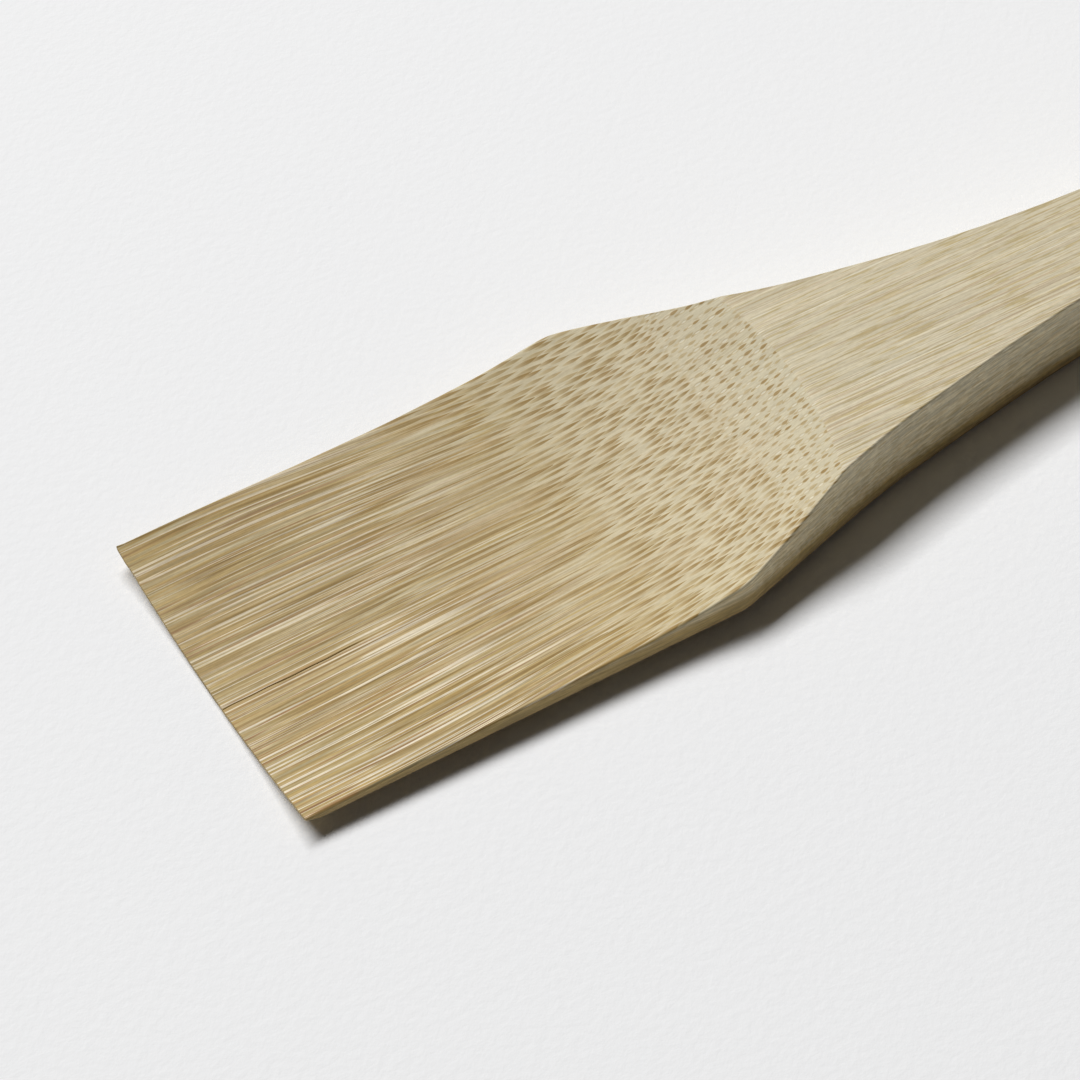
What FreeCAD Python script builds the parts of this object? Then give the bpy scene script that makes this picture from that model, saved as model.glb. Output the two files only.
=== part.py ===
import FreeCAD, Part

import math
import os

from FreeCAD import Vector

# A bamboo folder, carved in one piece from a strip of culm wall: a thin, wide, square-ended blade, a concave
# ramp between rounded shoulders, and a slim flat handle. The culm's own roundness stays in the piece: the
# underside is the outer skin, planed to a flat strip along the middle, and the blade's top follows it as a
# shallow trough.
#
# Millimetres. +X runs from the blade's tip to the handle's butt, +Y across the blade, +Z up. The origin is at
# the middle of the length and width, on the flat underside.

# Whole strip
LENGTH = 180.0
THICKNESS = 6.2  # of the handle, which keeps the full culm wall
CULM_RADIUS = 62.5  # of the outer skin, on the underside
UNDERSIDE_FLAT = 10.6  # width of the planed strip that the folder lies on

# Blade, with distances taken from the tip
BLADE_WIDTH = 25.0
TIP_THICKNESS = 0.38  # on the centre line
BLADE_SLOPE = 2.1  # degrees, of the top from the tip to the ramp
TROUGH_RADIUS = 62.5  # across the blade's top

# Ramp from the blade up to the handle's top
RAMP_START = 23.7
RAMP_RADIUS = 42.0

# Shoulders, where the blade ends and the sides turn in
SHOULDER = 31.7
SHOULDER_RADIUS = 2.5

# Half-widths of the two sides after the shoulder: (distance from the tip, +Y side, -Y side)
SIDE_STATIONS = (
    (SHOULDER, 12.45, 12.05),
    (35.7, 11.0, 10.75),
    (40.2, 8.6, 9.35),
    (44.7, 7.0, 8.05),
    (50.7, 5.75, 6.75),
    (58.7, 4.5, 5.3),
    (68.7, 3.75, 3.95),
    (85.0, 3.5, 3.5),
    (115.0, 4.05, 4.05),
    (150.0, 4.9, 4.9),
)
BUTT_HALF_WIDTH = 5.1  # the butt's end is a half circle of this radius

# Hand-rubbed edges
TOP_EDGE_RADIUS = 0.2

# Lengths worked out from the ones above
TIP_X = -LENGTH / 2
BUTT_X = LENGTH / 2
BUTT_ROUND_X = BUTT_X - BUTT_HALF_WIDTH  # where the sides end and the butt's half circle starts
UNDERSIDE_CUT = CULM_RADIUS - math.sqrt(CULM_RADIUS**2 - (UNDERSIDE_FLAT / 2) ** 2)
OVERSHOOT = 2.0  # how far the cutting tools run past the strip
CREASE_END_X = TIP_X + SHOULDER + 15.0  # the crease, where ramp and handle meet, lies before this
TOLERANCE = 0.01  # within which an edge counts as being at a place


def side(sign):
    """One side of the plan outline, as a smooth curve from the shoulder to the butt's round."""
    points = [
        Vector(TIP_X + along, sign * (plus if sign > 0 else minus), 0)
        for along, plus, minus in SIDE_STATIONS
    ]
    points.append(Vector(BUTT_ROUND_X, sign * BUTT_HALF_WIDTH, 0))
    curve = Part.BSplineCurve()
    curve.interpolate(points)
    return curve.toShape()


def blank():
    """The strip cut to its plan outline, at full thickness, with the shoulders' corners rounded."""
    plus, minus = side(1), side(-1)
    tip_plus = Vector(TIP_X, BLADE_WIDTH / 2, 0)
    tip_minus = Vector(TIP_X, -BLADE_WIDTH / 2, 0)
    plus_start, plus_end = plus.valueAt(plus.FirstParameter), plus.valueAt(plus.LastParameter)
    minus_start, minus_end = minus.valueAt(minus.FirstParameter), minus.valueAt(minus.LastParameter)
    outline = Part.Wire(
        Part.__sortEdges__(
            [
                Part.makeLine(tip_minus, tip_plus),
                Part.makeLine(tip_plus, plus_start),
                plus,
                Part.Arc(plus_end, Vector(BUTT_X, 0, 0), minus_end).toShape(),
                minus,
                Part.makeLine(minus_start, tip_minus),
            ]
        )
    )
    prism = Part.Face(outline).extrude(Vector(0, 0, THICKNESS))
    shoulders = [
        edge
        for edge in prism.Edges
        if is_upright(edge) and abs(edge.Vertexes[0].X - (TIP_X + SHOULDER)) < TOLERANCE
    ]
    return prism.makeFillet(SHOULDER_RADIUS, shoulders)


def is_upright(edge):
    """True for a straight edge that runs along Z."""
    ends = edge.Vertexes
    if len(ends) != 2:
        return False
    run = ends[1].Point.sub(ends[0].Point)
    return abs(run.z) > TOLERANCE and math.hypot(run.x, run.y) < TOLERANCE


def top_profile():
    """The blade's top along the centre line, from past the tip to above the handle: a straight run and the
    ramp's arc, tangent to it. Returns its edges in the XZ plane."""
    slope = math.radians(BLADE_SLOPE)
    past_tip = Vector(TIP_X - OVERSHOOT, 0, TIP_THICKNESS - OVERSHOOT * math.tan(slope))
    ramp_start = Vector(TIP_X + RAMP_START, 0, TIP_THICKNESS + RAMP_START * math.tan(slope))
    ramp_centre = ramp_start + Vector(-math.sin(slope), 0, math.cos(slope)) * RAMP_RADIUS

    def on_ramp(angle):
        return ramp_centre + Vector(math.sin(angle), 0, -math.cos(angle)) * RAMP_RADIUS

    ramp_top = math.acos((ramp_centre.z - THICKNESS - OVERSHOOT) / RAMP_RADIUS)
    return [
        Part.makeLine(past_tip, ramp_start),
        Part.Arc(ramp_start, on_ramp((slope + ramp_top) / 2), on_ramp(ramp_top)).toShape(),
    ]


def trough_cutter():
    """The wood taken off above the blade: the top profile turned about an axis along X, over the blade. The
    turning starts above that axis, so that no seam falls on the blade."""
    axis_z = TROUGH_RADIUS + TIP_THICKNESS
    edges = top_profile()
    first = edges[0].valueAt(edges[0].FirstParameter)
    last = edges[-1].Vertexes[-1].Point
    edges.append(Part.makeLine(last, Vector(last.x, 0, axis_z)))
    edges.append(Part.makeLine(Vector(last.x, 0, axis_z), Vector(first.x, 0, axis_z)))
    edges.append(Part.makeLine(Vector(first.x, 0, axis_z), first))
    section = Part.Face(Part.Wire(Part.__sortEdges__(edges)))
    axis = Vector(0, 0, axis_z)
    section.rotate(axis, Vector(1, 0, 0), 180)
    return section.revolve(axis, Vector(1, 0, 0), 360)


def culm():
    """The round outer skin, placed so that the strip's underside cuts a flat of the wanted width from it."""
    axis_z = CULM_RADIUS - UNDERSIDE_CUT
    log = Part.makeCylinder(
        CULM_RADIUS, LENGTH + 2 * OVERSHOOT, Vector(TIP_X - OVERSHOOT, 0, axis_z), Vector(1, 0, 0)
    )
    log.rotate(Vector(0, 0, axis_z), Vector(1, 0, 0), 90)
    return log


def handle_top_edges(solid):
    """The edges round the handle's flat top, along both sides and the butt, but not the ramp's crease."""
    return [
        edge
        for edge in solid.Edges
        if edge.BoundBox.ZMin > THICKNESS - TOLERANCE and edge.BoundBox.XMax > CREASE_END_X
    ]


def bamboo_folder():
    """The whole folder."""
    carved = blank().common(culm()).cut(trough_cutter())
    solid = carved.Solids[0]
    return solid.makeFillet(TOP_EDGE_RADIUS, handle_top_edges(solid)).Solids[0]


os.makedirs("parts", exist_ok=True)
folder = bamboo_folder()
folder.exportStep("parts/bamboo_folder.step")
box = folder.optimalBoundingBox(True, False)
print(f"bamboo_folder: {box.XLength:.2f} x {box.YLength:.2f} x {box.ZLength:.2f} mm")
print(f"{folder.Volume / 1000:.2f} cm3, valid: {folder.isValid()}, solids: {len(folder.Solids)}")
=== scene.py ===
import math

import bpy
import numpy as np
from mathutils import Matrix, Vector


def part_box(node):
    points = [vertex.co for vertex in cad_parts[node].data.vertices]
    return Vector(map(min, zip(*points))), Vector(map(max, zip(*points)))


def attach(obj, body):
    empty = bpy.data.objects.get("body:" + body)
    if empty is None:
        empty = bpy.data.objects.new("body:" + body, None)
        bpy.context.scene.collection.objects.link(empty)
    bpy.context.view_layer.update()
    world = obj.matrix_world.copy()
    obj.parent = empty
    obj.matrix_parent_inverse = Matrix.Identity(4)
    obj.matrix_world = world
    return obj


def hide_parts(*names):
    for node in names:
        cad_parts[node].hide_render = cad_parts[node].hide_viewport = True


# A bamboo folder, carved in one piece. Its outline, ramp and culm curves are those of the CAD node, in
# millimetres and with distances taken from the tip. The mesh here stands for that node and adds what a
# knife, a scraper and the grain leave: rubbed edges, a ragged tip with a fine split, torn fibres and the
# relief of the fibre bundles.

MM = 0.001
NODE = "bamboo_folder"

# ---- Sizes ---------------------------------------------------------------------------------------

# Blade and ramp
TIP_THICKNESS = 0.38
BLADE_SLOPE = math.radians(2.1)
RAMP_START = 23.7
RAMP_RADIUS = 42.0
RAMP_REACH = 0.8  # how far along the ramp's arc runs, as a part of its radius: well past the crest

# Across the strip
CULM_RADIUS = 62.5
TROUGH_RADIUS = 62.5
UNDERSIDE_FLAT = 10.6

# Sides after the shoulder: (distance from the tip, half-width on the +Y side, half-width on the -Y side)
SHOULDER = 31.7
SIDE_STATIONS = (
    (SHOULDER, 12.45, 12.05),
    (35.7, 11.0, 10.75),
    (40.2, 8.6, 9.35),
    (44.7, 7.0, 8.05),
    (50.7, 5.75, 6.75),
    (58.7, 4.5, 5.3),
    (68.7, 3.75, 3.95),
    (85.0, 3.5, 3.5),
    (115.0, 4.05, 4.05),
    (150.0, 4.9, 4.9),
)
BUTT_HALF_WIDTH = 5.1

# Hand finish
SHOULDER_SOFTENING = 0.6  # half the length over which the outline turns at a shoulder
EDGE_RADIUS = 0.2
CREASE_SOFTENING = 0.12
ASKEW_START = 34.0  # where the ramp's crest starts to turn, and over what length
ASKEW_LENGTH = 8.0
CREST_SHIFT = 0.6
CREST_SKEW = 0.07
# Heights gained along the blade's +Y edge: (distance from the tip, height)
FAR_EDGE_RISE = (
    (0, 0.04),
    (6, 0.04),
    (12, -0.1),
    (19, -0.11),
    (24, 0.1),
    (29, 0.33),
    (33, 0.26),
    (36, 0.02),
    (39, 0.15),
    (43, 0.0),
)

# The tip's last millimetre: a bevel underneath leaves an edge of even thickness
TIP_EDGE = 0.24
BEVEL_LENGTH = 1.0
TIP_STEP_Y = 11.0  # the corner beyond this is worn less
TIP_STEP_WIDTH = 0.15
TIP_WEAR = 0.05
WEAR_LENGTH = 1.2  # how far from the tip the wear reaches
CORNER_LENGTH = 0.35
CORNER_WEAR = 0.05

# The split at the tip, on the -Y side of the middle
SPLIT_Y = -1.75
SPLIT_LENGTH = 10.5
SPLIT_FADE = 4.5  # the end of its length, over which it closes
SPLIT_WIDTH = 0.045
SPLIT_DEPTH = 0.3
SPLIT_WANDER = ((0.025, 0.8), (0.015, 2.3))  # waves: how far to the side, and radians for each millimetre

# The deepest that each kind of relief gets
SCRAPER_RIDGES = 0.022
SCRAPER_WAVES = 0.03
COARSE_TEARS = 0.03
FINE_TEARS = 0.015
FIBRE_ENDS = 0.012

# Depths in the culm's wall, from the skin, between which one kind of wood gives way to the next
OUTER_BUNDLES_END = (1.4, 2.1)
MIDDLE_BUNDLES_START = (0.3, 0.8)
INNER_BUNDLES_START = (4.15, 4.3)
FIBRES_FADE = (0.9, 1.7)

# Colours as a screen shows them: red, green and blue from 0 to 255.
# The ground tissue's go with the depth, as a part of the wall's thickness.
WALL_THICKNESS = 7.0
GROUND = (
    (0.00, (182, 164, 112)),
    (0.06, (180, 161, 112)),
    (0.17, (200, 185, 148)),
    (0.34, (207, 194, 160)),
    (0.60, (207, 195, 163)),
    (0.90, (203, 193, 163)),
)
PLANED_GROUND = (202, 191, 162)
OLIVE_DRIFT = (180, 160, 106)
ROSY_DRIFT = (184, 155, 108)
PALE_DRIFT = (214, 206, 178)
STREAK = (172, 144, 88)
BROWN_LINE = (154, 114, 70)
CREAM_LINE = (228, 216, 190)
RUBBED_SKIN = (170, 148, 100)
SCORE = (178, 158, 106)
BUNDLE_RIMS = ((177, 151, 90), (176, 147, 90))
BUNDLE_HEARTS = ((155, 125, 67), (153, 124, 66))
VESSEL = (226, 219, 196)
PAPER = (0.82, 0.82, 0.82, 1.0)  # linear

# Floor and light, in metres and watts
FLOOR_HALF_SIZE = 1.5
SOFTBOX_DIRECTION = (-0.15, 0.58, 1.0)
SOFTBOX_DISTANCE = 2.2
SOFTBOX_SIZE = (2.0, 0.76)
SOFTBOX_POWER = 63.0
SOFTBOX_COLOUR = (0.985, 0.99, 1.0)
STUDIO_LIGHT = 0.05
STUDIO_COLOUR = (1.0, 0.91, 0.8, 1.0)
BACKDROP_COLOUR = (0.8, 0.8, 0.8, 1.0)

# Camera, in millimetres: the point it looks at, from the tip's middle, and where it stands from there
LOOK_AT = (23.96, 0.27, 0.0)
CAMERA_AZIMUTH = math.radians(-31.06)
CAMERA_ELEVATION = math.radians(49.37)
CAMERA_DISTANCE = 229.93
CAMERA_LENS = 120
CAMERA_SENSOR = 36

# Mesh density: the sections along the strip as (start, end, step), and the points around one section
TIP_SPAN = 0.48
TIP_SECTIONS = 9
SECTION_SPANS = (
    (0.6, 47.9, 0.17),
    (48.0, 79.9, 0.4),
)
HANDLE_START = 80.0
HANDLE_STEP = 0.9
BUTT_SECTIONS = 24
COLUMNS = 170
SIDE_ROWS = 16
ROUND_STEPS = 4


# ---- Shape ---------------------------------------------------------------------------------------


def spline(knots, values):
    """The natural cubic curve through the given points, as a function."""
    knots, values = np.asarray(knots, float), np.asarray(values, float)
    step = np.diff(knots)
    rise = np.diff(values) / step
    matrix = np.eye(len(knots))
    right = np.zeros(len(knots))
    for i in range(1, len(knots) - 1):
        matrix[i, i - 1 : i + 2] = step[i - 1], 2 * (step[i - 1] + step[i]), step[i]
        right[i] = 3 * (rise[i] - rise[i - 1])
    bend = np.linalg.solve(matrix, right)
    first = rise - step * (2 * bend[:-1] + bend[1:]) / 3
    third = np.diff(bend) / (3 * step)

    def at(x):
        i = np.clip(np.searchsorted(knots, x) - 1, 0, len(step) - 1)
        t = x - knots[i]
        return values[i] + t * (first[i] + t * (bend[i] + t * third[i]))

    return at


def soft_min(a, b, softness):
    """The lower of two heights, with the corner where they meet rounded off."""
    gap = a - b
    return (a + b - np.sqrt(gap * gap + softness * softness)) / 2


class Folder:
    """The folder's surfaces, as functions of the distance from the tip and of the place across."""

    def __init__(self, low, high):
        self.length = (high.x - low.x) / MM
        self.thickness = (high.z - low.z) / MM
        self.blade_half = (high.y - low.y) / MM / 2
        self.tip_x = low.x / MM
        self.culm_cut = CULM_RADIUS - math.sqrt(CULM_RADIUS**2 - (UNDERSIDE_FLAT / 2) ** 2)
        self.axis_z = CULM_RADIUS - self.culm_cut
        self.round_start = self.length - BUTT_HALF_WIDTH
        stations = np.array(SIDE_STATIONS + ((self.round_start, BUTT_HALF_WIDTH, BUTT_HALF_WIDTH),))
        self.after_shoulder = {
            1: spline(stations[:, 0], stations[:, 1]),
            -1: spline(stations[:, 0], stations[:, 2]),
        }
        self.far_edge = spline(*np.array(FAR_EDGE_RISE).T)

    def sharp_half_width(self, s, side):
        """Half-width with the shoulder's corner still sharp."""
        shoulder = SIDE_STATIONS[0][1 if side > 0 else 2]
        blade = self.blade_half + (shoulder - self.blade_half) * s / SHOULDER
        return np.where(s < SHOULDER, blade, self.after_shoulder[side](np.maximum(s, SHOULDER)))

    def half_width(self, s, side):
        """Half-width on one side, with the shoulder softened and the butt's half circle."""
        spread = np.linspace(-1, 1, 9) * SHOULDER_SOFTENING
        width = np.mean([self.sharp_half_width(np.maximum(s + d, 0), side) for d in spread], axis=0)
        width = np.minimum(width, self.blade_half)
        past = np.clip(s - self.round_start, 0, BUTT_HALF_WIDTH)
        butt = np.sqrt(np.maximum(BUTT_HALF_WIDTH**2 - past**2, 0))
        return np.where(s > self.round_start, butt, width)

    def centre_top(self, s):
        """Height of the blade's top on the centre line: a straight run and the ramp."""
        ramp_z = TIP_THICKNESS + RAMP_START * math.tan(BLADE_SLOPE)
        ramp_cx = RAMP_START - RAMP_RADIUS * math.sin(BLADE_SLOPE)
        ramp_cz = ramp_z + RAMP_RADIUS * math.cos(BLADE_SLOPE)
        along = np.minimum(s - ramp_cx, RAMP_RADIUS * RAMP_REACH)
        ramp = ramp_cz - np.sqrt(RAMP_RADIUS**2 - along**2)
        return np.where(s < RAMP_START, TIP_THICKNESS + s * math.tan(BLADE_SLOPE), ramp)

    def top(self, s, y):
        """Height of the top face. The ramp is cut a little askew, so its crest lies further back at +Y."""
        askew = (CREST_SHIFT + CREST_SKEW * y) * np.clip((s - ASKEW_START) / ASKEW_LENGTH, 0, 1) ** 2
        axis_z = TROUGH_RADIUS + TIP_THICKNESS
        radius = axis_z - self.centre_top(s - askew)
        trough = axis_z - np.sqrt(np.maximum(radius**2 - y**2, 0))
        rise = np.where(s < FAR_EDGE_RISE[-1][0], self.far_edge(s), 0.0)
        trough = trough + rise * np.clip(y / self.blade_half, 0, 1) ** 2
        return soft_min(trough, np.full_like(trough, self.thickness), CREASE_SOFTENING)

    def bottom(self, s, y):
        """Height of the underside: the culm's skin, planed flat along the middle and bevelled at the tip."""
        skin = np.maximum(self.axis_z - np.sqrt(CULM_RADIUS**2 - y**2), 0)
        bevel = np.maximum(self.top(0 * s, y) - TIP_EDGE - skin, 0)
        return skin + bevel * np.clip(1 - s / BEVEL_LENGTH, 0, 1)


def stations(folder):
    """Distances from the tip at which the strip is sectioned: close together over the blade and ramp."""
    tip = np.linspace(0, TIP_SPAN, TIP_SECTIONS)
    spans = [np.arange(*span) for span in SECTION_SPANS]
    handle = np.arange(HANDLE_START, folder.round_start - 0.1, HANDLE_STEP)
    turn = np.linspace(0, 0.5 * math.pi, BUTT_SECTIONS)
    butt = folder.round_start + BUTT_HALF_WIDTH * np.sin(turn)
    return np.concatenate([tip, *spans, handle, butt[:-1], [folder.length - 0.001]])


def split_place(folder):
    """The split's place across the top, from 0 at the -Y side to 1."""
    return 0.5 + SPLIT_Y / (2 * folder.blade_half)


def column_places(folder):
    """Where the columns lie across the faces, from 0 at the -Y side to 1, with extra ones at the split."""
    even = np.linspace(0, 1, COLUMNS)
    middle = split_place(folder)
    width = SPLIT_WIDTH / (2 * folder.blade_half)
    near_split = middle + np.array([-3, -2, -1, -0.5, 0, 0.5, 1, 2, 3]) * width
    clear = even[np.abs(even - middle) > 4 * width]
    return np.sort(np.concatenate([clear, near_split]))


def value_noise(x, y, z, seed):
    """Smooth noise from -1 to 1 over a unit lattice."""
    cell = [np.floor(c) for c in (x, y, z)]
    part = [c - base for c, base in zip((x, y, z), cell)]
    ease = [p * p * (3 - 2 * p) for p in part]
    total = 0.0
    for corner in np.ndindex(2, 2, 2):
        i, j, k = (base + step for base, step in zip(cell, corner))
        random = np.sin(i * 127.1 + j * 311.7 + k * 74.7 + seed * 13.7) * 43758.5453
        weight = np.prod([e if step else 1 - e for e, step in zip(ease, corner)], axis=0)
        total = total + weight * (random - np.floor(random))
    return 2 * total - 1


def grain(s, y, z, along, across, seed):
    """Noise drawn out along the grain, from 0 to 1."""
    s, y, z = np.broadcast_arrays(s, y, z)
    return 0.5 + 0.5 * value_noise(s / along, y / across, z / across, seed)


def worn_top(folder, s, y, z, from_split):
    """The top face with the ridges a scraper leaves, and the split."""
    ridges = SCRAPER_RIDGES * grain(s, y, 0 * z, along=30, across=0.42, seed=3)
    waves = SCRAPER_WAVES * grain(s, y, 0 * z, along=9, across=3.2, seed=11)
    z = z - ridges - waves
    closing = np.clip((SPLIT_LENGTH - s) / SPLIT_FADE, 0, 1)
    open_here = np.clip(1 - from_split / SPLIT_WIDTH, 0, 1) * closing
    return z - np.minimum(SPLIT_DEPTH, 0.6 * (z - folder.bottom(s, y))) * open_here


def torn_side(s, y, z, width):
    """A side face with its fibres torn out unevenly."""
    coarse = COARSE_TEARS * grain(s, 0 * z, z, along=5, across=0.2, seed=21)
    fine = FINE_TEARS * grain(s, 0 * z, z, along=1.6, across=0.12, seed=29)
    return y - np.sign(y) * np.minimum(coarse + fine, 0.2 * width)


def tip_wear(folder, s, y, z):
    """How far the tip is worn back: fibre ends of uneven length, a step near the +Y corner and rubbed
    corners."""
    fade = np.clip(1 - s / WEAR_LENGTH, 0, 1)
    thick_fibres = FIBRE_ENDS * grain(0 * s, y, 0 * z, along=1, across=0.3, seed=41)
    thin_fibres = FIBRE_ENDS * grain(0 * s, y, 0 * z, along=1, across=0.1, seed=43)
    worn = TIP_WEAR * np.clip((TIP_STEP_Y - y) / TIP_STEP_WIDTH, 0, 1)
    to_corner = (np.abs(y) - folder.blade_half + CORNER_LENGTH) / CORNER_LENGTH
    corner = CORNER_WEAR * np.clip(to_corner, 0, 1) ** 2
    return fade * (thick_fibres + thin_fibres + worn + corner)


def side_face(folder, s, sign, width, radius):
    """One side from top to underside with its rounded edges, as places across and heights."""
    turn = np.linspace(0, math.pi / 2, ROUND_STEPS + 2)[1:-1]
    down = np.linspace(0, 1, SIDE_ROWS)
    high = folder.top(s, sign * (width - radius)) - radius
    low = folder.bottom(s, width - radius) + radius
    out = width - radius * (1 - np.sin(turn))
    y = np.hstack([out, width + 0 * down, out[:, ::-1]])
    drop = radius * (1 - np.cos(turn))
    z = np.hstack([high + radius - drop, high + (low - high) * down, low - radius + drop[:, ::-1]])
    return torn_side(s, sign * y, z, width), z


def rings(folder):
    """All sections as three arrays of distance, place across and height, one row for each section. Each
    runs across the top from -Y to +Y, down the +Y side, back across the underside and up the -Y side."""
    s = stations(folder)[:, None]
    places = column_places(folder)
    plus, minus = folder.half_width(s, 1), folder.half_width(s, -1)
    thick = folder.top(s, plus) - folder.bottom(s, plus)
    radius = np.minimum(np.minimum(EDGE_RADIUS, 0.42 * thick), 0.5 * np.minimum(plus, minus))

    y_face = -(minus - radius) + places * (plus + minus - 2 * radius)
    from_split = np.abs(places - split_place(folder)) * (plus + minus)
    wander = sum(far * np.sin(rate * s) for far, rate in SPLIT_WANDER)
    y_top = y_face + wander * np.exp(-(from_split**2)) * np.clip(2 - s / SPLIT_LENGTH, 0, 1)
    z_top = worn_top(folder, s, y_top, folder.top(s, y_face), from_split)

    y_plus, z_plus = side_face(folder, s, 1, plus, radius)
    y_minus, z_minus = side_face(folder, s, -1, minus, radius)
    y_under = y_face[:, ::-1]
    z_under = folder.bottom(s, y_under)
    y = np.hstack([y_top, y_plus, y_under, y_minus[:, ::-1]])
    z = np.maximum(np.hstack([z_top, z_plus, z_under, z_minus[:, ::-1]]), 0)
    return s + tip_wear(folder, s, y, z), y, z


def strip_faces(rows, count):
    """Quads that join each ring of points to the next."""
    here = np.arange(rows - 1)[:, None] * count + np.arange(count)
    there = np.arange(rows - 1)[:, None] * count + (np.arange(count) + 1) % count
    return np.stack([here, here + count, there + count, there], axis=-1).reshape(-1, 4).tolist()


def end_faces(start, count, columns, outward):
    """Closes one end: a quad between each pair of top and underside columns, and a face for each side."""
    side = (count - 2 * columns) // 2
    under = columns + side
    quads = [[i, i + 1, under + columns - 2 - i, under + columns - 1 - i] for i in range(columns - 1)]
    plus_side = list(range(columns - 1, under + 1))
    minus_side = list(range(under + columns - 1, count)) + [0]
    faces = [[start + i for i in face] for face in (*quads, plus_side, minus_side)]
    return [face[::-1] for face in faces] if outward > 0 else faces


def folder_mesh(folder):
    """The whole folder as one closed mesh of sections joined by quads, with flat ends."""
    s, y, z = rings(folder)
    rows, count = s.shape
    points = np.stack([folder.tip_x + s, y, z], axis=-1).reshape(-1, 3) * MM
    columns = len(column_places(folder))
    ends = end_faces(0, count, columns, -1) + end_faces((rows - 1) * count, count, columns, 1)
    mesh = bpy.data.meshes.new("folder")
    mesh.from_pydata(points.tolist(), [], strip_faces(rows, count) + ends)
    mesh.shade_smooth()
    for face in mesh.polygons[-len(ends) :]:
        face.use_smooth = False
    return mesh


# ---- Material ------------------------------------------------------------------------------------


class Nodes:
    """Short calls that add shader nodes to one material and link them."""

    def __init__(self, material):
        material.use_nodes = True
        self.tree = material.node_tree
        self.shader = self.tree.nodes["Principled BSDF"]

    def add(self, kind, **settings):
        node = self.tree.nodes.new(kind)
        for name, value in settings.items():
            setattr(node, name, value)
        return node

    def put(self, socket, value):
        """Links an output to a socket, or sets the socket's own value."""
        if isinstance(value, bpy.types.NodeSocket):
            self.tree.links.new(value, socket)
        else:
            socket.default_value = value

    def math(self, operation, *values):
        node = self.add("ShaderNodeMath", operation=operation)
        for socket, value in zip(node.inputs, values):
            self.put(socket, value)
        return node.outputs[0]

    def sum(self, first, *rest):
        for value in rest:
            first = self.math("ADD", first, value)
        return first

    def product(self, first, *rest):
        for value in rest:
            first = self.math("MULTIPLY", first, value)
        return first

    def vector(self, x, y, z=0.0):
        node = self.add("ShaderNodeCombineXYZ")
        for socket, value in zip(node.inputs, (x, y, z)):
            self.put(socket, value)
        return node.outputs[0]

    def split(self, vector):
        node = self.add("ShaderNodeSeparateXYZ")
        self.put(node.inputs[0], vector)
        return node.outputs

    def step(self, value, low, high, to_low=0.0, to_high=1.0):
        """A smooth step from to_low at low to to_high at high."""
        node = self.add("ShaderNodeMapRange", interpolation_type="SMOOTHSTEP")
        for name, item in (
            ("Value", value),
            ("From Min", low),
            ("From Max", high),
            ("To Min", to_low),
            ("To Max", to_high),
        ):
            self.put(node.inputs[name], item)
        return node.outputs[0]

    def by(self, share, at_none, at_full):
        """A value that goes from at_none where the share is 0 to at_full where it is 1."""
        return self.step(share, 0.0, 1.0, at_none, at_full)

    def noise(self, vector, detail=2.0, roughness=0.5, scale=1.0):
        node = self.add("ShaderNodeTexNoise")
        self.put(node.inputs["Vector"], vector)
        self.put(node.inputs["Scale"], scale)
        self.put(node.inputs["Detail"], detail)
        self.put(node.inputs["Roughness"], roughness)
        return node.outputs

    def stretched(self, place, rates, detail=2.0, roughness=0.5):
        """Noise with a rate of its own, per millimetre, along each of three directions."""
        parts = [self.product(part, rate) for part, rate in zip(place, rates)]
        return self.noise(self.vector(*parts), detail, roughness)

    def shift(self, noise, width):
        """A shift to either side, from noise between 0 and 1."""
        return self.product(self.math("SUBTRACT", noise, 0.5), width)

    def mix(self, factor, first, second, blend="MIX"):
        node = self.add("ShaderNodeMix", data_type="RGBA", blend_type=blend)
        self.put(node.inputs["Factor"], factor)
        self.put(node.inputs["A"], first)
        self.put(node.inputs["B"], second)
        return node.outputs["Result"]

    def ramp(self, value, stops):
        """Colour by value: stops are (place from 0 to 1, colour)."""
        node = self.add("ShaderNodeValToRGB")
        self.put(node.inputs[0], value)
        elements = node.color_ramp.elements
        while len(elements) < len(stops):
            elements.new(0.5)
        for element, (place, colour) in zip(elements, stops):
            element.position = place
            element.color = colour
        return node.outputs["Color"]

    def bump(self, height, strength, distance):
        node = self.add("ShaderNodeBump")
        self.put(node.inputs["Strength"], strength)
        self.put(node.inputs["Distance"], distance)
        self.put(node.inputs["Height"], height)
        return node.outputs[0]


def tone(colour):
    """A linear colour from the 0 to 255 values that a screen shows."""
    return tuple(((c / 255 + 0.055) / 1.055) ** 2.4 for c in colour) + (1.0,)


def ellipse(n, a, b, centre, half_a, half_b, soft=0.45):
    """1 inside an ellipse about the place (0, centre), falling softly to 0 at its rim."""
    across = n.math("DIVIDE", a, half_a)
    inwards = n.math("DIVIDE", n.math("SUBTRACT", b, centre), half_b)
    squared = n.sum(n.product(across, across), n.product(inwards, inwards))
    return n.step(n.math("SQRT", squared), 1.0, 1.0 - soft)


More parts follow.
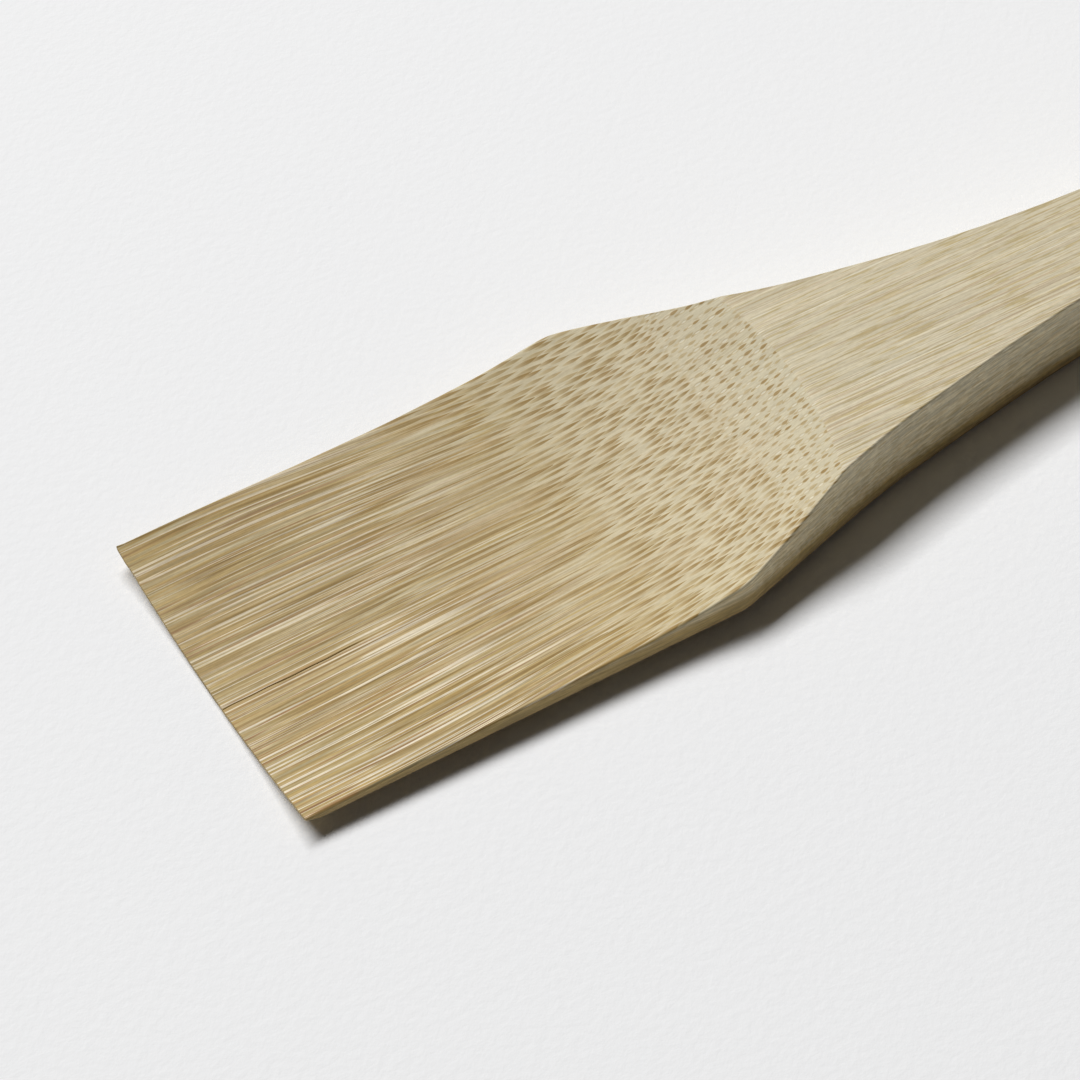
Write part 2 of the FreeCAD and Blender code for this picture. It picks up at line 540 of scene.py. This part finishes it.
class Cut:
    """Where a point of the surface lies in the culm, in mm, and how the wood is cut there, from 0 to 1:
    flank on the side faces and planed on the handle's flat top."""

    def __init__(self, n, folder):
        place = n.add("ShaderNodeTexCoord").outputs
        self.x, self.y, self.z = [n.product(part, 1 / MM) for part in n.split(place["Object"])]
        self.flank = n.step(n.math("ABSOLUTE", n.split(place["Normal"])[2]), 0.6, 0.3)
        to_axis = n.math("SUBTRACT", folder.axis_z, self.z)
        from_axis = n.math("SQRT", n.sum(n.product(self.y, self.y), n.product(to_axis, to_axis)))
        self.depth = n.math("SUBTRACT", CULM_RADIUS, from_axis)
        near_top = n.step(self.z, folder.thickness - 0.14, folder.thickness - 0.08)
        self.planed = n.product(near_top, n.by(self.flank, 1.0, 0.0))

        # The bundles wander a little along the strip and draw together from the blade to the neck.
        here = (self.x, self.y, self.depth)
        drawn = n.product(self.y, n.step(self.x, folder.tip_x + 4.0, folder.tip_x + 40.0, 1.0, 1.2))
        drift = n.split(n.stretched(here, (0.02, 0.16, 0.3), detail=1.0)[1])
        waves = n.stretched(here, (0.1, 0.25, 0.2), detail=1.0)[0]
        self.y_in = n.sum(drawn, n.shift(drift[0], 0.7))
        self.depth_in = n.sum(self.depth, n.shift(drift[1], 0.5), n.shift(waves, 0.4))


def lattice(n, cut, pitch, jitter, start):
    """Fibre bundles on a staggered, jittered lattice across the grain. Returns, in mm, the place from the
    nearest bundle's centre across and inwards, and three random numbers that belong to that bundle."""
    p = n.math("DIVIDE", n.sum(cut.y_in, start), pitch)
    q = n.math("DIVIDE", cut.depth_in, pitch)
    u = n.product(n.sum(p, q), math.sqrt(0.5))
    v = n.product(n.math("SUBTRACT", q, p), math.sqrt(0.5))
    cells = n.add("ShaderNodeTexVoronoi", voronoi_dimensions="2D")
    n.put(cells.inputs["Vector"], n.vector(u, v))
    n.put(cells.inputs["Scale"], 1.0)
    n.put(cells.inputs["Randomness"], jitter)
    at = n.split(cells.outputs["Position"])
    du, dv = n.math("SUBTRACT", u, at[0]), n.math("SUBTRACT", v, at[1])
    luck = n.split(cells.outputs["Color"])
    size = n.by(luck[1], 0.85, 1.15)
    across = n.math("DIVIDE", n.product(n.math("SUBTRACT", du, dv), math.sqrt(0.5) * pitch), size)
    inwards = n.math("DIVIDE", n.product(n.sum(du, dv), math.sqrt(0.5) * pitch), size)
    return across, inwards, luck


def outer_bundles(n, cut):
    """Small crowded bundles under the skin."""
    a, b, luck = lattice(n, cut, pitch=0.27, jitter=0.6, start=5.2)
    cap = ellipse(n, a, b, centre=0.0, half_a=0.12, half_b=0.14, soft=0.6)
    full, end = OUTER_BUNDLES_END
    there = n.product(n.step(cut.depth_in, end, full), n.by(cut.flank, 1.0, 0.3))
    return n.product(cap, n.by(luck[0], 0.45, 1.0), there)


def middle_bundles(n, cut):
    """Bundles of the middle wall: pointed and dark on the inner side, fading towards the skin."""
    a, b, luck = lattice(n, cut, pitch=0.39, jitter=0.5, start=0.0)
    half_width = n.step(b, 0.22, -0.02, 0.035, 0.175)
    body = ellipse(n, a, b, centre=0.0, half_a=half_width, half_b=0.22, soft=0.3)
    fade = n.step(b, -0.22, 0.08, 0.45, 1.0)
    full, end = INNER_BUNDLES_START
    there = n.product(n.step(cut.depth_in, *MIDDLE_BUNDLES_START), n.step(cut.depth_in, end, full))
    return n.product(body, fade, n.step(luck[0], 0.0, 0.8, 0.7, 1.0), there)


def inner_bundles(n, cut):
    """Bundles near the hollow: a small cap, a pale vessel with a dark rim and a larger cap in a row.
    Returns the caps and the vessel."""
    a, b, luck = lattice(n, cut, pitch=0.54, jitter=0.4, start=2.6)
    pointed = n.step(b, 0.29, 0.06, 0.07, 0.18)
    inner_cap = ellipse(n, a, b, centre=0.13, half_a=pointed, half_b=0.15, soft=0.4)
    outer_cap = ellipse(n, a, b, centre=-0.23, half_a=0.12, half_b=0.09)
    rim = ellipse(n, a, b, centre=-0.07, half_a=0.17, half_b=0.14, soft=0.3)
    vessel = ellipse(n, a, b, centre=-0.07, half_a=0.11, half_b=0.09, soft=0.5)
    there = n.step(cut.depth_in, *INNER_BUNDLES_START)
    caps = n.math("MAXIMUM", inner_cap, n.product(outer_cap, 0.7))
    caps = n.math("MAXIMUM", caps, n.product(rim, 0.5))
    caps = n.math("SUBTRACT", caps, n.product(vessel, 0.5))
    caps = n.product(caps, n.step(luck[0], 0.0, 0.8, 0.6, 0.95), there)
    return caps, n.product(vessel, there, n.step(luck[2], 0.2, 0.7, 0.3, 1.0))


class Fibres:
    """Single fibres, far finer than the bundles: lines that stand out only near the skin."""

    def __init__(self, n, cut):
        here = (cut.x, cut.y_in, cut.depth_in)
        full, end = FIBRES_FADE
        clear = n.product(n.step(cut.depth, end, full, 0.08, 1.0), n.by(cut.planed, 1.0, 5.0))
        self.clear = n.product(clear, n.by(cut.flank, 1.0, 0.0), n.step(cut.y, 6.0, -9.0, 0.85, 1.25))
        self.fine = n.stretched(here, (0.12, 6.5, 0.9), detail=3.0, roughness=0.7)[0]
        self.strands = n.stretched(here, (0.05, 4.2, 1.4), detail=2.0, roughness=0.6)[0]
        lines = n.split(n.stretched(here, (0.055, 6.5, 1.0), detail=1.0, roughness=0.6)[1])
        self.streaks = n.product(n.step(self.strands, 0.42, 0.6, 0.0, 0.7), n.step(cut.depth, end, full))
        self.brown = n.product(n.step(lines[0], 0.56, 0.61, 0.0, 0.85), self.clear)
        self.cream = n.product(n.step(lines[1], 0.56, 0.61, 0.0, 0.75), self.clear)


def ground_tissue(n, cut, hue):
    """The pale wood between the bundles, with slow drifts of colour across the wall."""
    stops = [(part, tone(colour)) for part, colour in GROUND]
    ground = n.ramp(n.product(cut.depth, 1 / WALL_THICKNESS), stops)
    ground = n.mix(cut.planed, ground, tone(PLANED_GROUND))
    tint = n.product(n.by(cut.planed, 1.0, 0.4), n.step(cut.depth, 1.9, 1.0, 0.3, 1.0))
    for value, start, strength, colour in (
        (hue[0], 0.52, 0.5, OLIVE_DRIFT),
        (hue[1], 0.52, 0.3, ROSY_DRIFT),
        (hue[2], 0.5, 0.35, PALE_DRIFT),
    ):
        amount = n.product(n.step(value, start, start + 0.2, 0.0, strength), tint)
        ground = n.mix(amount, ground, tone(colour))
    return ground


def marked_ground(n, cut, fibres, hue):
    """The ground with its streaks and brown fibres, the rubbed skin at the edges and the plane's scores."""
    rubbed = n.product(cut.flank, n.step(cut.depth, 1.5, 0.7))
    scores = n.stretched((cut.x, cut.y, cut.z), (0.3, 5.0, 0.5), detail=2.0, roughness=0.6)[0]
    scored = n.product(n.step(scores, 0.5, 0.6, 0.0, 0.7), cut.planed)
    ground = ground_tissue(n, cut, hue)
    for amount, colour in (
        (fibres.streaks, STREAK),
        (fibres.brown, BROWN_LINE),
        (rubbed, RUBBED_SKIN),
        (scored, SCORE),
    ):
        ground = n.mix(amount, ground, tone(colour))
    return ground


def shading(n, cut, fibres):
    """How light the wood is: its fine fibres, painted shade that darkens the strip towards +Y, its cells,
    and the side faces lightened as painted light, with their combed grain."""
    low, high = n.by(fibres.clear, 0.92, 0.74), n.by(fibres.clear, 1.02, 1.11)
    shade = n.step(fibres.fine, 0.34, 0.66, low, high)
    # Painted shade: the strip is coloured darker towards +Y, where the trough's face tilts away from the
    # softbox.
    shade = n.product(shade, n.step(cut.y, -10.0, 6.0, 0.975, 0.93), n.by(cut.planed, 1.0, 1.07))
    cells = n.stretched((cut.x, cut.y, cut.z), (2.5, 7.0, 7.0), detail=2.0, roughness=0.6)[0]
    combed = n.stretched((cut.x, cut.z, cut.y), (0.35, 5.0, 0.5), detail=3.0, roughness=0.7)[0]
    shade = n.product(shade, n.step(cells, 0.3, 0.7, 0.95, 1.05))
    # Painted light: the side faces are lightened overall, up to 1.35 times, on top of their real combed
    # streaks.
    return n.product(shade, n.by(cut.flank, 1.0, n.step(combed, 0.36, 0.64, 0.92, 1.35)))


def relief(n, fibres, dots, vessel):
    """The bump of the fibres and of the open vessels."""
    height = n.sum(
        n.product(fibres.fine, 0.8),
        n.product(fibres.strands, 0.4),
        n.product(dots, 0.2),
        n.product(vessel, -0.6),
    )
    return n.bump(height, strength=0.5, distance=0.04 * MM)


def bamboo(folder):
    """Bamboo as a solid: every colour follows from the place across the culm wall, so the same bundles
    show as dots where the wood is cut steeply and as long streaks where the cut runs along the grain."""
    material = bpy.data.materials.new("bamboo")
    n = Nodes(material)
    cut = Cut(n, folder)
    fibres = Fibres(n, cut)
    outer = outer_bundles(n, cut)
    inner, vessel = inner_bundles(n, cut)
    shown = n.product(n.by(cut.planed, 1.0, 0.06), n.by(cut.flank, 1.0, 0.45))
    dots = n.product(n.math("MAXIMUM", middle_bundles(n, cut), inner), shown)

    slow = (cut.x, cut.y, cut.depth)
    hue = n.split(n.stretched(slow, (0.01, 0.75, 0.5), detail=2.0, roughness=0.6)[1])
    rims, hearts = (
        n.mix(n.step(value, 0.42, 0.62), tone(first), tone(second))
        for value, (first, second) in ((hue[1], BUNDLE_RIMS), (hue[0], BUNDLE_HEARTS))
    )
    colour = n.mix(n.product(outer, 0.9), marked_ground(n, cut, fibres, hue), rims)
    colour = n.mix(dots, colour, n.mix(n.step(dots, 0.4, 0.95), rims, hearts))
    colour = n.mix(fibres.cream, colour, tone(CREAM_LINE))
    colour = n.mix(n.product(vessel, 0.55), colour, tone(VESSEL))
    shade = shading(n, cut, fibres)
    colour = n.mix(1.0, colour, n.vector(shade, shade, shade), "MULTIPLY")

    n.put(n.shader.inputs["Normal"], relief(n, fibres, dots, vessel))
    n.put(n.shader.inputs["Base Color"], colour)
    n.put(n.shader.inputs["Roughness"], n.step(fibres.fine, 0.3, 0.7, 0.66, 0.52))
    n.put(n.shader.inputs["Specular IOR Level"], 0.3)
    return material


def paper():
    """The pale table top: white card with a fine tooth."""
    material = bpy.data.materials.new("paper")
    n = Nodes(material)
    here = n.add("ShaderNodeTexCoord").outputs["Object"]
    tooth = n.noise(here, detail=4.0, roughness=0.6, scale=1500.0)[0]
    n.put(n.shader.inputs["Normal"], n.bump(tooth, strength=0.9, distance=0.05 * MM))
    n.put(n.shader.inputs["Base Color"], PAPER)
    n.put(n.shader.inputs["Roughness"], 0.95)
    n.put(n.shader.inputs["Specular IOR Level"], 0.1)
    return material


# ---- Scene ---------------------------------------------------------------------------------------


def add_object(name, data):
    thing = bpy.data.objects.new(name, data)
    bpy.context.scene.collection.objects.link(thing)
    return thing


def add_floor():
    size = FLOOR_HALF_SIZE
    mesh = bpy.data.meshes.new("floor")
    corners = [(-size, -size, 0), (size, -size, 0), (size, size, 0), (-size, size, 0)]
    mesh.from_pydata(corners, [], [(0, 1, 2, 3)])
    mesh.materials.append(paper())
    add_object("floor", mesh)


def add_lights():
    """A long softbox behind the folder, lying along it."""
    lamp = bpy.data.lights.new("softbox", "AREA")
    lamp.shape = "RECTANGLE"
    lamp.size, lamp.size_y = SOFTBOX_SIZE
    lamp.energy = SOFTBOX_POWER
    lamp.color = SOFTBOX_COLOUR
    softbox = add_object("softbox", lamp)
    towards = Vector(SOFTBOX_DIRECTION).normalized()
    softbox.location = towards * SOFTBOX_DISTANCE
    softbox.rotation_euler = towards.to_track_quat("Z", "Y").to_euler()


def add_studio():
    """A weak even light from all round, and a pale backdrop where the camera looks past the floor."""
    world = bpy.data.worlds.new("studio")
    world.use_nodes = True
    nodes, links = world.node_tree.nodes, world.node_tree.links
    light = nodes["Background"]
    light.inputs["Color"].default_value = STUDIO_COLOUR
    light.inputs["Strength"].default_value = STUDIO_LIGHT
    backdrop = nodes.new("ShaderNodeBackground")
    backdrop.inputs["Color"].default_value = BACKDROP_COLOUR
    choice = nodes.new("ShaderNodeMixShader")
    links.new(nodes.new("ShaderNodeLightPath").outputs["Is Camera Ray"], choice.inputs[0])
    links.new(light.outputs[0], choice.inputs[1])
    links.new(backdrop.outputs[0], choice.inputs[2])
    links.new(choice.outputs[0], nodes["World Output"].inputs["Surface"])
    bpy.context.scene.world = world


def add_camera(folder):
    """Looks at the blade from the -X -Y side, 49 degrees up."""
    level = math.cos(CAMERA_ELEVATION)
    back = Vector(
        (
            math.sin(CAMERA_AZIMUTH) * level,
            -math.cos(CAMERA_AZIMUTH) * level,
            math.sin(CAMERA_ELEVATION),
        )
    )
    look_at = Vector((folder.tip_x, 0, 0)) + Vector(LOOK_AT)
    data = bpy.data.cameras.new("camera")
    data.sensor_width = CAMERA_SENSOR
    data.lens = CAMERA_LENS
    data.clip_start = 0.01
    data.clip_end = 50
    camera = add_object("camera", data)
    camera.location = (look_at + back * CAMERA_DISTANCE) * MM
    camera.rotation_euler = back.to_track_quat("Z", "Y").to_euler()
    bpy.context.scene.camera = camera


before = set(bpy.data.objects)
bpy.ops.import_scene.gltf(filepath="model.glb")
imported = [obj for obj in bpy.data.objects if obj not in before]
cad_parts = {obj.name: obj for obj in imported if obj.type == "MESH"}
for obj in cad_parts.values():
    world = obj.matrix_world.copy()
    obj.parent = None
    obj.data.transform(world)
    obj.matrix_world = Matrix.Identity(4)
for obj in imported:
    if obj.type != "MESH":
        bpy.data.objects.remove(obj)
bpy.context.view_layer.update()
bpy.context.scene.view_settings.view_transform = "Standard"
node_low, node_high = (Vector(corner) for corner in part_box(NODE))
shape = Folder(node_low, node_high)

wood = add_object("folder_wood", folder_mesh(shape))
wood.data.materials.append(bamboo(shape))
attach(wood, "root")
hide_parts(NODE)

add_floor()
add_lights()
add_studio()
add_camera(shape)
